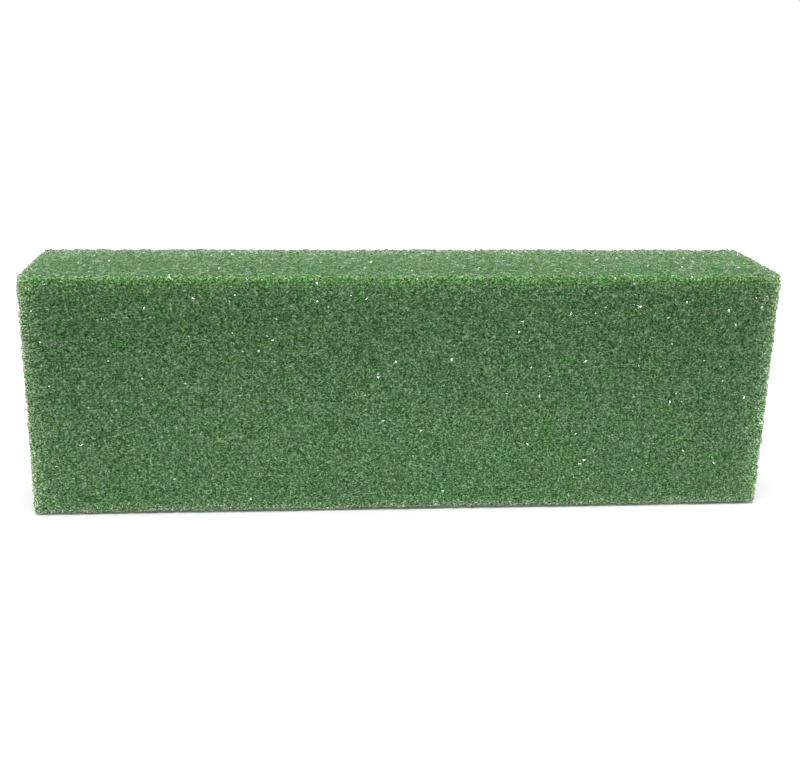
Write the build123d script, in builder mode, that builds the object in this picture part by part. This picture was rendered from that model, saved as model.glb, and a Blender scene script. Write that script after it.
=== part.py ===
from build123d import *

import os

# Floral foam brick: one solid block, cut on every side from a larger piece of rigid foam.
#
# Frame: the brick stands on one of its long narrow sides, and the origin is at the middle of
# that side. X runs along the length, Y through the thickness and Z up. The front looks along -Y.

# Driving dimensions, in millimetres. The stock size is 12 by 4 by 2 inches.
INCH = 25.4
LENGTH = 12 * INCH
HEIGHT = 4 * INCH
THICKNESS = 2 * INCH

# The foam crumbles along its cut edges to a small bevel. One upright edge is worn rounder.
EDGE_BEVEL = 1.0
WORN_EDGE_RADIUS = 6.0

# The worn edge stands furthest along this direction, at the back right.
TOWARDS_WORN_EDGE = Axis((0, 0, 0), (1, 1, 0))

os.makedirs("parts", exist_ok=True)

with BuildPart() as foam_brick:
    with BuildSketch(Plane.XY) as outline:
        Rectangle(LENGTH, THICKNESS)
        sharp_corners = outline.vertices().sort_by(TOWARDS_WORN_EDGE)[:-1]
        chamfer(sharp_corners, length=EDGE_BEVEL)
        worn_corner = outline.vertices().sort_by(TOWARDS_WORN_EDGE)[-1]
        fillet(worn_corner, radius=WORN_EDGE_RADIUS)
    extrude(amount=HEIGHT)
    base_and_top = foam_brick.faces().filter_by(Axis.Z)
    chamfer(base_and_top.edges(), length=EDGE_BEVEL)

foam_brick.part.label = "foam_brick"
export_step(foam_brick.part, "parts/foam_brick.step")
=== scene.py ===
import math

import bpy
import numpy as np
from mathutils import Euler, Matrix, Vector
from mathutils.geometry import delaunay_2d_cdt


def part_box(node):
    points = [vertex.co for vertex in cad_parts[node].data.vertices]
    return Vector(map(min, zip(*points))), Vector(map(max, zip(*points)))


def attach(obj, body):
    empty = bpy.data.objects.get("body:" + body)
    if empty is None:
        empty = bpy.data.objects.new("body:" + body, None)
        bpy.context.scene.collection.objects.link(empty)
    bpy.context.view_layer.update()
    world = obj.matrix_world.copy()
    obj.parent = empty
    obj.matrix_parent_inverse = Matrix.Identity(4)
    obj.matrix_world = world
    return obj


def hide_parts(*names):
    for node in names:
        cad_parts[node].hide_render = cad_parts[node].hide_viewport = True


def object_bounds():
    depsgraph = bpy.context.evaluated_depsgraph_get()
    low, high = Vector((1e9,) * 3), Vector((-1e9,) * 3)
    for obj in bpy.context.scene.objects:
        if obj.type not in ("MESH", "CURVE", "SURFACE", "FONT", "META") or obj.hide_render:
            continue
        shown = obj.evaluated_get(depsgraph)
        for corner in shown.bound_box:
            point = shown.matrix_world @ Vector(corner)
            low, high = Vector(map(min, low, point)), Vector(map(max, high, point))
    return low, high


# The floral foam brick: one block whose whole surface is cells of plastic foam, cut open.
# Lengths are in metres. The block's size and place come from the frame.

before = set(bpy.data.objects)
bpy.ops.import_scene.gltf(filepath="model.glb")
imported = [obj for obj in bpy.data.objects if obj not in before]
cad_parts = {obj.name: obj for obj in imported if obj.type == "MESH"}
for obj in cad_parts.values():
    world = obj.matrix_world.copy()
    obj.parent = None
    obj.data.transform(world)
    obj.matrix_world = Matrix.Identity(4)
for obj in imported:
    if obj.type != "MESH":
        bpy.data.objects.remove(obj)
CAD_LOW, CAD_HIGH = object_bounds()

MM = 0.001
NODE = "foam_brick"
RANDOM_SEED = 7

# The cells' places: about this far apart, on a loose hexagonal grid, each a little out of place.
CELL_PITCH = 1.93 * MM
ROW_PITCH = CELL_PITCH * math.sqrt(3) / 2
SEED_JITTER = 0.42 * CELL_PITCH
APEX_JITTER = 0.10 * CELL_PITCH

# On each flat face the grid stops this far from the row of cells along the edge.
EDGE_MARGIN = 0.55 * CELL_PITCH

# Places on two faces that are nearer than this are one cell on the edge between them.
SAME_PLACE = 0.001 * MM

# How deep the cells are, from the shallowest to the deepest. A few are nearly closed.
PIT_DEPTH = (0.15 * CELL_PITCH, 0.50 * CELL_PITCH)
CLOSED_CELLS = 0.12
CLOSED_DEPTH = 0.06 * CELL_PITCH

# How far the rims drop below the outline by chance, and how much more along the crumbled edges.
RIM_DROP = 0.16 * CELL_PITCH
EDGE_RAGGEDNESS = 2.0

# The cut's slow waves. Each swell has a rate, as turns in one wave length, and the angle in
# radians that it has reached at the block's middle.
WAVE_HEIGHT = 0.25 * MM
WAVE_LENGTH = 55 * MM
LENGTHWISE_SWELL = (1.0, 1.0)
UPWARD_SWELL = (0.7, 0.6)
SLANTED_SWELL = (0.43, 2.0)

# The outline: crumbled edges all round, and one upright edge worn rounder, as in the CAD.
CRUMBLED_RADIUS = 2.2 * MM
WORN_EDGE_RADIUS = 6.0 * MM

# The foam is crumbled and pale along its edges. This is partly real wear and partly painted light, where
# light shines through the edges and from behind them: broadly along the short ones, in a narrow line
# along the long ones, more so at the base than at the top, and widest at the back.
CRUSHED_AND_PAINTED_LIGHT_WIDTH = 4.5 * MM
BASE_CRUSHING_AND_PAINTED_LIGHT = 1.6
TOP_CRUSHING_AND_PAINTED_LIGHT = 0.25
LONG_CRUSHED_AND_PAINTED_LIGHT_WIDTH = 2.0 * MM
BACK_CRUSHING_AND_PAINTED_LIGHT = 1.2
BACK_CRUSHED_AND_PAINTED_LIGHT_WIDTH = 12.0 * MM
BACK_CRUSHED_AND_PAINTED_LIGHT_DEPTH = 4.0 * MM

# Painted light along the upper front edge, mostly just under it: the colour is made lighter there,
# standing for light that comes through the foam.
GLOW_WIDTH = 0.7 * MM
GLOW_DEPTH = 8.0 * MM

# Share of the cell walls that are smooth, whole films, which glint.
FILM_SHARE = 0.55

# Foam colours, as linear red, green and blue.
DARK = (0.009, 0.050, 0.006, 1)
OLIVE = (0.051, 0.131, 0.041, 1)
TEAL = (0.047, 0.131, 0.044, 1)
PALE = (0.23, 0.41, 0.19, 1)
# Frost is reached mostly by the strands along the pale edges, as part of their painted light.
FROST = (0.58, 0.74, 0.52, 1)

# The lightness at which the foam has its own olive or teal, is pale, and is frost. It is dark at 0.
BODY_LIGHT = 0.4
PALE_LIGHT = 1.0
FROST_LIGHT = 1.4

# What the foam's colours are multiplied by: along its edges, where it is crumbled and also given painted
# light, and along the upper front edge, where painted light stands for light coming through it.
CRUSHED_AND_PAINTED_LIGHT_TINT = (1.25, 1.07, 1.15)
GLOW_TINT = (1.72, 1.58, 1.53)

# The sizes of the detail on the cell walls, as cycles or cells in a metre.
PATCH_SCALE = 45
RIPPLE_SCALE = 650
WEB_SCALE = 700
GRAIN_SCALE = 900
BREAK_SCALE = 1300
SPECK_SCALE = 1500

# The detail is this much finer upwards than it is across.
DETAIL_FLATNESS = 1.3

# The middle part of a noise's values that is spread over the whole range: less of it is sharper.
SOFT_NOISE = (0.3, 0.7)
PATCH_NOISE = (0.35, 0.65)
SHARP_NOISE = (0.38, 0.62)

# Where the web's strands end and its hollows begin, as distances from its lines in web cells.
STRAND_EDGE = (0.02, 0.16)
HOLLOW_EDGE = (0.10, 0.35)

# How much each detail lightens the foam: strands on whole foam and on the pale edges, the web's lines and
# its hollows, dark and light specks, and dark and light rims. The paler strands are partly painted light
# on the cell walls, and the darker hollows are painted shade in the cells.
STRAND_LIGHT = (0.48, 1.9)
HOLLOW_LIGHT = (0.29, 0.12)
SPECK_LIGHT = (-0.38, 0.38)
RIM_LIGHT = (-0.10, 0.24)

# How much of the detail shows on upright faces and on level ones. Less shows on level ones, such as the
# top: painted light from above, which reaches into the hollows there.
DETAIL_SHOWN = (1.0, 0.6)

# The plastic is rough and dimpled, and light passes through it. A film has a rippled gloss on it.
ROUGHNESS = (0.45, 0.75)
BUMP_DEPTH = 0.8 * MM
RIPPLE_DEPTH = 0.1 * MM
PLASTIC = {
    "IOR": 1.5,
    "Specular IOR Level": 0.1,
    "Subsurface Weight": 0.5,
    "Subsurface Radius": (0.7, 1.0, 0.6),
    "Subsurface Scale": 20 * MM,
}
FILM_GLOSS = {
    "Coat Weight": 0.7,
    "Coat Roughness": 0.03,
    "Coat IOR": 1.55,
}

# The stage: a floor that reaches past the view, and a room that looks white but lights softly.
FLOOR_PAINT = {
    "Base Color": (0.62, 0.62, 0.62, 1),
    "Roughness": 0.9,
    "Specular IOR Level": 0.1,
}
FLOOR_REACH = 40.0
ROOM_LIGHT = (0.22, 0.22, 0.22, 1)
ROOM_SEEN = (1.0, 1.0, 1.0, 1)

# The low spot: its place in front of the block's foot, and its beam, with angles in degrees.
SPOT_DISTANCE = 1.0
SPOT_HEIGHT = 0.12
SPOT_DOWNWARDS = 31
SPOT_BEAM = 60
SPOT_BLEND = 0.2
SPOT_RADIUS = 0.05
SPOT_POWER = 38

# The camera, solved from the block's outline in the photograph. Its angles are in degrees: the
# pitch is downwards and the yaw is to the left, so this one is turned a little to the right.
CAMERA_PLACE = (-0.0414, -0.4387, 0.2005)
CAMERA_PITCH = 16.34
CAMERA_YAW = -4.21
CAMERA_ROLL = 0.90
CAMERA_SHIFT = (0.025, -0.066)
LENS_MM = 48.8
SENSOR_MM = 36.0


def new_material(name):
    """An empty node material, its node tree and its shader."""
    material = bpy.data.materials.new(name)
    material.use_nodes = True
    tree = material.node_tree
    return material, tree, tree.nodes["Principled BSDF"]


def set_shader(shader, values):
    """Sets the shader's own sockets to plain values."""
    for name, value in values.items():
        shader.inputs[name].default_value = value


def add_node(tree, kind, inputs=None, **settings):
    """A node of that kind. Inputs are plain values or the output sockets to link from."""
    node = tree.nodes.new(kind)
    for name, value in settings.items():
        setattr(node, name, value)
    for name, value in (inputs or {}).items():
        if isinstance(value, bpy.types.NodeSocket):
            tree.links.new(value, node.inputs[name])
        else:
            node.inputs[name].default_value = value
    return node


def noise(tree, place, scale, detail=2.0, roughness=0.5):
    """A noise texture over the object, where scale is in cycles per metre."""
    inputs = {"Vector": place, "Scale": scale, "Detail": detail, "Roughness": roughness}
    return add_node(tree, "ShaderNodeTexNoise", inputs).outputs["Fac"]


def voronoi_edges(tree, place, scale, randomness=0.8):
    """How far each point is from the edges of Voronoi cells, where scale is in cells per metre."""
    inputs = {"Vector": place, "Scale": scale, "Randomness": randomness}
    node = add_node(tree, "ShaderNodeTexVoronoi", inputs, feature="DISTANCE_TO_EDGE")
    return node.outputs["Distance"]


def bump(tree, height, depth):
    """The normals of a surface that is raised by height times depth."""
    inputs = {"Height": height, "Strength": 1.0, "Distance": depth}
    return add_node(tree, "ShaderNodeBump", inputs).outputs["Normal"]


def multiply(tree, first, second):
    """The product of two values, each a number or an output socket."""
    return add_node(tree, "ShaderNodeMath", {0: first, 1: second}, operation="MULTIPLY").outputs[0]


def total(tree, values):
    """The sum of several values, each a number or an output socket."""
    result = values[0]
    for value in values[1:]:
        result = add_node(tree, "ShaderNodeMath", {0: result, 1: value}, operation="ADD").outputs[0]
    return result


def spread(tree, value, span, onto=(0, 1)):
    """value with its span mapped onto another range, and kept inside that range."""
    (low, high), (to_low, to_high) = span, onto
    inputs = {"Value": value, "From Min": low, "From Max": high, "To Min": to_low, "To Max": to_high}
    return add_node(tree, "ShaderNodeMapRange", inputs).outputs["Result"]


def blend_colours(tree, share, first, second):
    """The first colour where share is 0 and the second where it is 1."""
    node = add_node(tree, "ShaderNodeMix", data_type="RGBA")
    for index, value in ((0, share), (6, first), (7, second)):
        if isinstance(value, bpy.types.NodeSocket):
            tree.links.new(value, node.inputs[index])
        else:
            node.inputs[index].default_value = value
    return node.outputs[2]


def tint_colour(tree, share, colour, tint):
    """The colour where share is 0, and the colour times the tint where it is 1."""
    tinted = add_node(tree, "ShaderNodeVectorMath", {0: colour, 1: tint}, operation="MULTIPLY")
    return blend_colours(tree, share, colour, tinted.outputs["Vector"])


def point_value(tree, name):
    """One of the values that foam_mesh leaves on its points: rim, crushed_and_painted_light, glow or
    level.
    """
    return add_node(tree, "ShaderNodeAttribute", attribute_name=name).outputs["Fac"]


def foam_place(tree):
    """Where a point is on the object, with the detail's flatness."""
    place = add_node(tree, "ShaderNodeTexCoord").outputs["Object"]
    flatten = {0: place, 1: (1, 1, DETAIL_FLATNESS)}
    return add_node(tree, "ShaderNodeVectorMath", flatten, operation="MULTIPLY").outputs["Vector"]


def foam_strands(tree, place, web):
    """The web's lines as strands across the cell walls, broken off here and there."""
    whole = spread(tree, noise(tree, place, BREAK_SCALE), SHARP_NOISE)
    return multiply(tree, spread(tree, web, STRAND_EDGE, (1, 0)), whole)


def foam_lightness(tree, place, web, strands):
    """How light the foam is: the body's lightness, and the detail that varies it."""
    # Partly painted light and shade: strands are paler, and much paler on the edges, partly as lit cell
    # walls. The web's hollows and the pits' bottoms are darker, as painted shade.
    strand_light = spread(tree, point_value(tree, "crushed_and_painted_light"), (0, 1), STRAND_LIGHT)
    detail = total(tree, [
        -BODY_LIGHT,
        multiply(tree, strands, strand_light),
        spread(tree, web, HOLLOW_EDGE, HOLLOW_LIGHT),
        spread(tree, noise(tree, place, SPECK_SCALE, detail=1.0), SOFT_NOISE, SPECK_LIGHT),
        spread(tree, point_value(tree, "rim"), (0, 1), RIM_LIGHT),
    ])
    # Less of the detail shows on level faces: painted light from above, reaching into their hollows.
    shown = spread(tree, point_value(tree, "level"), (0, 1), DETAIL_SHOWN)
    return total(tree, [BODY_LIGHT, multiply(tree, detail, shown)])


def foam_colour(tree, place, light):
    """The foam's colour: olive and teal patches, darker or paler by its lightness, and tinted paler along
    the edges, which is partly painted light, and along the upper front edge, which is painted light.
    """
    patches = spread(tree, noise(tree, place, PATCH_SCALE), PATCH_NOISE)
    colour = blend_colours(tree, patches, OLIVE, TEAL)
    colour = blend_colours(tree, spread(tree, light, (0, BODY_LIGHT)), DARK, colour)
    colour = blend_colours(tree, spread(tree, light, (BODY_LIGHT, PALE_LIGHT)), colour, PALE)
    colour = blend_colours(tree, spread(tree, light, (PALE_LIGHT, FROST_LIGHT)), colour, FROST)
    # Paler along the edges: partly crumbled foam, partly painted light.
    colour = tint_colour(tree, point_value(tree, "crushed_and_painted_light"), colour, CRUSHED_AND_PAINTED_LIGHT_TINT)
    # Painted light: lighter along the upper front edge, where light comes through the foam.
    return tint_colour(tree, point_value(tree, "glow"), colour, GLOW_TINT)


def foam_material(name, film):
    """Green foam plastic. A film is a smooth unbroken wall, with a gloss over it."""
    material, tree, shader = new_material(name)
    set_shader(shader, PLASTIC)
    place = foam_place(tree)
    web = voronoi_edges(tree, place, WEB_SCALE)
    strands = foam_strands(tree, place, web)
    light = foam_lightness(tree, place, web, strands)
    tree.links.new(foam_colour(tree, place, light), shader.inputs["Base Color"])

    grain = noise(tree, place, GRAIN_SCALE, detail=3.0, roughness=0.6)
    tree.links.new(spread(tree, grain, SOFT_NOISE, ROUGHNESS), shader.inputs["Roughness"])
    height = total(tree, [grain, strands])
    tree.links.new(bump(tree, height, BUMP_DEPTH), shader.inputs["Normal"])
    if film:
        set_shader(shader, FILM_GLOSS)
        ripple = noise(tree, place, RIPPLE_SCALE, detail=0.0)
        tree.links.new(bump(tree, ripple, RIPPLE_DEPTH), shader.inputs["Coat Normal"])
    return material


def marks_along(length, random):
    """Places of the cells along an edge of that length, centred on 0, with both its ends."""
    count = round(length / CELL_PITCH)
    marks = np.linspace(-length / 2, length / 2, count + 1)
    marks[1:-1] += random.uniform(-SEED_JITTER, SEED_JITTER, count - 1)
    return marks


def seeds_inside(width, height, random):
    """Places of the cells inside a flat face of that size, centred on 0: an uneven hexagonal grid."""
    inner_width, inner_height = width - 2 * EDGE_MARGIN, height - 2 * EDGE_MARGIN
    columns, rows = round(inner_width / CELL_PITCH), round(inner_height / ROW_PITCH)
    column, row = np.meshgrid(np.arange(columns), np.arange(rows + 1))

    # Every other row stands half a column further along.
    offset = np.where(row % 2, 0.75, 0.25)
    u = (column + offset) / columns * inner_width - inner_width / 2
    v = row / rows * inner_height - inner_height / 2
    grid = np.stack([u.ravel(), v.ravel()], axis=1)
    grid += random.uniform(-SEED_JITTER, SEED_JITTER, grid.shape)
    limit = np.array([inner_width, inner_height]) / 2
    return np.clip(grid, -limit, limit)


def face_of_block(size, axis, side, marks, random):
    """One flat face's cells as 3-D points about the block's centre, and triangles between them."""
    u_axis, v_axis = ((axis + 1) % 3, (axis + 2) % 3)[::side]
    u_marks, v_marks = marks[u_axis], marks[v_axis]
    half_u, half_v = size[u_axis] / 2, size[v_axis] / 2
    border = [(u, v) for u in u_marks for v in (-half_v, half_v)]
    border += [(u, v) for u in (-half_u, half_u) for v in v_marks[1:-1]]
    inside = seeds_inside(size[u_axis], size[v_axis], random)
    flat = [Vector(place) for place in border + inside.tolist()]
    flat, _, triangles, *_ = delaunay_2d_cdt(flat, [], [], 0, 1e-9, False)
    points = np.zeros((len(flat), 3))
    points[:, [u_axis, v_axis]] = np.array([tuple(place) for place in flat])
    points[:, axis] = side * size[axis] / 2
    return points, np.array(triangles)


def cells_of_block(size, random):
    """All the cells' places on a sharp block, and the closed net of triangles that joins them."""
    marks = [marks_along(length, random) for length in size]
    points, triangles, first = [], [], 0
    for axis in range(3):
        for side in (1, -1):
            face_points, face_triangles = face_of_block(size, axis, side, marks, random)
            points.append(face_points)
            triangles.append(face_triangles + first)
            first += len(face_points)
    points = np.concatenate(points)
    rounded = np.round(points / SAME_PLACE).astype(int)
    _, keep, joined = np.unique(rounded, axis=0, return_index=True, return_inverse=True)
    return points[keep], joined.ravel()[np.concatenate(triangles)]


def sides_of_net(net, cell_count):
    """For each directed side of the net: its first cell, its triangle and the triangle across."""
    start, end = net.ravel(), net[:, [1, 2, 0]].ravel()
    triangle = np.repeat(np.arange(len(net)), 3)
    forward, backward = start * cell_count + end, end * cell_count + start
    order = np.argsort(forward)
    across = triangle[order[np.searchsorted(forward[order], backward)]]
    return start, triangle, across


def worn_skin(points, size):
    """Points of the sharp block moved onto its worn outline, and the outward directions there."""
    half = size / 2
    core = np.clip(points, CRUMBLED_RADIUS - half, half - CRUMBLED_RADIUS)
    pivot = half[:2] - WORN_EDGE_RADIUS
    past = core[:, :2] - pivot
    reach = np.linalg.norm(past, axis=1)
    core_radius = WORN_EDGE_RADIUS - CRUMBLED_RADIUS
    worn = (past > 0).all(axis=1) & (reach > core_radius)
    core[worn, :2] = pivot + past[worn] * (core_radius / reach[worn])[:, None]
    outward = points - core
    outward /= np.linalg.norm(outward, axis=1)[:, None]
    return core + outward * CRUMBLED_RADIUS, outward


def crushing_and_painted_light(points, size):
    """How crumbled the foam is at points of the sharp block, and how much painted light goes with that:
    most on the edges, fading inwards.
    """
    half = size / 2
    gap_x, gap_y, gap_z = (half - np.abs(points)).T
    short_edges = np.exp(-np.maximum(gap_x, np.minimum(gap_y, gap_z)) / CRUSHED_AND_PAINTED_LIGHT_WIDTH)
    amount = np.interp(points[:, 2], (-half[2], half[2]), (BASE_CRUSHING_AND_PAINTED_LIGHT, TOP_CRUSHING_AND_PAINTED_LIGHT))
    long_edges = amount * np.exp(-np.maximum(gap_y, gap_z) / LONG_CRUSHED_AND_PAINTED_LIGHT_WIDTH)
    back_gap = half[1] - points[:, 1]
    reach = np.maximum(back_gap / BACK_CRUSHED_AND_PAINTED_LIGHT_WIDTH, gap_z / BACK_CRUSHED_AND_PAINTED_LIGHT_DEPTH)
    back_edges = BACK_CRUSHING_AND_PAINTED_LIGHT * np.exp(-reach)
    return np.maximum.reduce([short_edges, long_edges, back_edges])


def glow(points, size):
    """How much painted light, standing for light that comes through the foam, the colour gets at points
    of the sharp block.
    """
    half = size / 2
    front_gap = points[:, 1] + half[1]
    top_gap = half[2] - points[:, 2]
    return np.exp(-np.maximum(front_gap / GLOW_WIDTH, top_gap / GLOW_DEPTH))


def swell(distance, rate, start):
    """A wave between -1 and 1 along that distance."""
    return np.sin(rate * 2 * math.pi / WAVE_LENGTH * distance + start)


def waves(points):
    """How far the cut wanders inwards at each point, from 0 to WAVE_HEIGHT."""
    x, y, z = points.T
    crossed = swell(x, *LENGTHWISE_SWELL) * swell(z, *UPWARD_SWELL)
    slanted = swell(x + y, *SLANTED_SWELL)
    return WAVE_HEIGHT * np.interp(crossed + slanted, (-2, 2), (0, 1))


def cut_rims(middles, size, random):
    """Where the walls of three cells meet, a little below the outline, and the outward directions."""
    rims, outward = worn_skin(middles, size)
    ragged = 1 + EDGE_RAGGEDNESS * crushing_and_painted_light(middles, size)
    depth = np.abs(random.normal(0, RIM_DROP, len(rims))) * ragged + waves(rims)
    return rims - outward * depth[:, None], outward


def cut_apexes(seeds, size, random):
    """The deepest point of each cell, and the outward directions."""
    apexes, outward = worn_skin(seeds, size)
    depth = random.uniform(*PIT_DEPTH, len(seeds))
    closed = random.random(len(seeds)) < CLOSED_CELLS
    depth[closed] = CLOSED_DEPTH
    apexes = apexes - outward * (depth + waves(apexes))[:, None]
    return apexes + random.normal(0, APEX_JITTER, apexes.shape), outward


def foam_mesh(size, centre, random):
    """The cut foam: each cell is a pit of flat walls, and the walls of neighbours meet in a rim."""
    seeds, net = cells_of_block(size, random)
    middles = seeds[net].mean(axis=1)
    rims, rim_outward = cut_rims(middles, size, random)
    apexes, apex_outward = cut_apexes(seeds, size, random)

    # Each directed side of the net gives one wall: from its first cell's apex to the rims of
    # the two triangles that meet there.
    start, triangle, across = sides_of_net(net, len(seeds))
    walls = np.stack([start, across + len(seeds), triangle + len(seeds)], axis=1)
    points = np.concatenate([apexes, rims])
    points = np.clip(points, -size / 2, size / 2) + centre
    mesh = bpy.data.meshes.new(NODE + "_cells")
    mesh.from_pydata(points.tolist(), [], walls.tolist())

    # Rims are light or dark by chance, and unlike the three rims around them. The pits' deepest points
    # are all given 0, the darkest rim value, as painted shade.
    luck = random.random(len(rims))
    luck_around = luck[across].reshape(-1, 3).mean(axis=1)
    rim_luck = np.clip(0.5 + luck - luck_around, 0, 1)
    everywhere = np.concatenate([seeds, middles])
    outward = np.concatenate([apex_outward, rim_outward])
    crushed_and_painted_light = crushing_and_painted_light(everywhere, size)
    point_values = {
        "rim": np.concatenate([np.zeros(len(apexes)), rim_luck]),
        "crushed_and_painted_light": crushed_and_painted_light,
        "glow": glow(everywhere, size),
        "level": np.abs(outward[:, 2]),
    }
    for name, values in point_values.items():
        mesh.attributes.new(name, "FLOAT", "POINT").data.foreach_set("value", values)

    # A wall's material is 0 for foam_wall or 1 for foam_film. More walls are films along the crumbled,
    # painted-light edges.
    film = random.random(len(walls)) < FILM_SHARE * (1 + crushed_and_painted_light[start])
    mesh.polygons.foreach_set("material_index", film.astype(np.int32))
    mesh.update()
    return mesh


def make_foam_brick():
    """The visible brick, which stands for the CAD block."""
    random = np.random.default_rng(RANDOM_SEED)
    low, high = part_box(NODE)
    size = np.array(high) - np.array(low)
    centre = np.array((low + high) / 2)
    mesh = foam_mesh(size, centre, random)
    mesh.materials.append(foam_material("foam_wall", film=False))
    mesh.materials.append(foam_material("foam_film", film=True))
    brick = bpy.data.objects.new("foam_brick_cells", mesh)
    bpy.context.scene.collection.objects.link(brick)
    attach(brick, "root")
    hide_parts(NODE)


def make_floor():
    """A wide, plain, pale floor."""
    material, _, shader = new_material("floor_paint")
    set_shader(shader, FLOOR_PAINT)
    ways = ((-1, -1), (1, -1), (1, 1), (-1, 1))
    corners = [(x * FLOOR_REACH, y * FLOOR_REACH, 0) for x, y in ways]
    mesh = bpy.data.meshes.new("floor")
    mesh.from_pydata(corners, [], [(0, 1, 2, 3)])
    mesh.materials.append(material)
    floor = bpy.data.objects.new("floor", mesh)
    floor.location.z = CAD_LOW.z
    bpy.context.scene.collection.objects.link(floor)


def make_room():
    """An even light from all round, in a room that the camera sees as white."""
    world = bpy.data.worlds.new("white_room")
    world.use_nodes = True
    tree = world.node_tree
    seen = add_node(tree, "ShaderNodeLightPath").outputs["Is Camera Ray"]
    shade = blend_colours(tree, seen, ROOM_LIGHT, ROOM_SEEN)
    tree.links.new(shade, tree.nodes["Background"].inputs["Color"])
    bpy.context.scene.world = world


def add_sun(name, azimuth, elevation, strength, spread_angle):
    """A distant lamp, with its angles in degrees. Azimuth 0 shines from the front, and 90 from +X."""
    light = bpy.data.lights.new(name, "SUN")
    light.energy = strength
    light.angle = math.radians(spread_angle)
    lamp = bpy.data.objects.new(name, light)
    around, up = math.radians(azimuth), math.radians(elevation)
    from_there = Vector((math.sin(around) * math.cos(up), -math.cos(around) * math.cos(up), math.sin(up)))
    lamp.rotation_euler = from_there.to_track_quat("Z", "Y").to_euler()
    bpy.context.scene.collection.objects.link(lamp)
    return lamp


def add_low_spot():
    """A low lamp in front. The soft upper edge of its beam lights the block's foot the most."""
    light = bpy.data.lights.new("low_spot", "SPOT")
    light.energy = SPOT_POWER
    light.spot_size = math.radians(SPOT_BEAM)
    light.spot_blend = SPOT_BLEND
    light.shadow_soft_size = SPOT_RADIUS
    lamp = bpy.data.objects.new("low_spot", light)
    lamp.location = (0, CAD_LOW.y - SPOT_DISTANCE, CAD_LOW.z + SPOT_HEIGHT)
    lamp.rotation_euler = (math.radians(90 - SPOT_DOWNWARDS), 0, 0)
    bpy.context.scene.collection.objects.link(lamp)
    return lamp


def make_lights():
    """A broad light overhead, a low one in front, and small bright ones that the films catch."""
    overhead = add_sun("overhead", azimuth=-20, elevation=84, strength=4.4, spread_angle=50)
    low_spot = add_low_spot()

    # The films don't reflect these two, so only the small lights glint.
    overhead.visible_glossy = False
    low_spot.visible_glossy = False
    add_sun("key", azimuth=-15, elevation=40, strength=0.48, spread_angle=7.5)
    add_sun("back_key", azimuth=170, elevation=55, strength=0.15, spread_angle=5)
    add_sun("left_key", azimuth=-88, elevation=20, strength=1.6, spread_angle=9.5)
    add_sun("right_key", azimuth=90, elevation=20, strength=1.6, spread_angle=9.5)


def make_camera():
    """The photograph's view: from the front, a little to the left and above."""
    camera = bpy.data.cameras.new("camera")
    camera.sensor_width = SENSOR_MM
    camera.lens = LENS_MM
    camera.shift_x, camera.shift_y = CAMERA_SHIFT
    tilt, yaw = math.radians(90 - CAMERA_PITCH), math.radians(CAMERA_YAW)
    roll = Matrix.Rotation(math.radians(CAMERA_ROLL), 3, "Z")
    turn = Euler((tilt, 0, yaw)).to_matrix() @ roll
    eye = bpy.data.objects.new("camera", camera)
    eye.matrix_world = Matrix.Translation(CAMERA_PLACE) @ turn.to_4x4()
    bpy.context.scene.collection.objects.link(eye)
    bpy.context.scene.camera = eye


make_camera()
make_room()
make_lights()
make_floor()
make_foam_brick()
bpy.context.scene.view_settings.view_transform = "Standard"
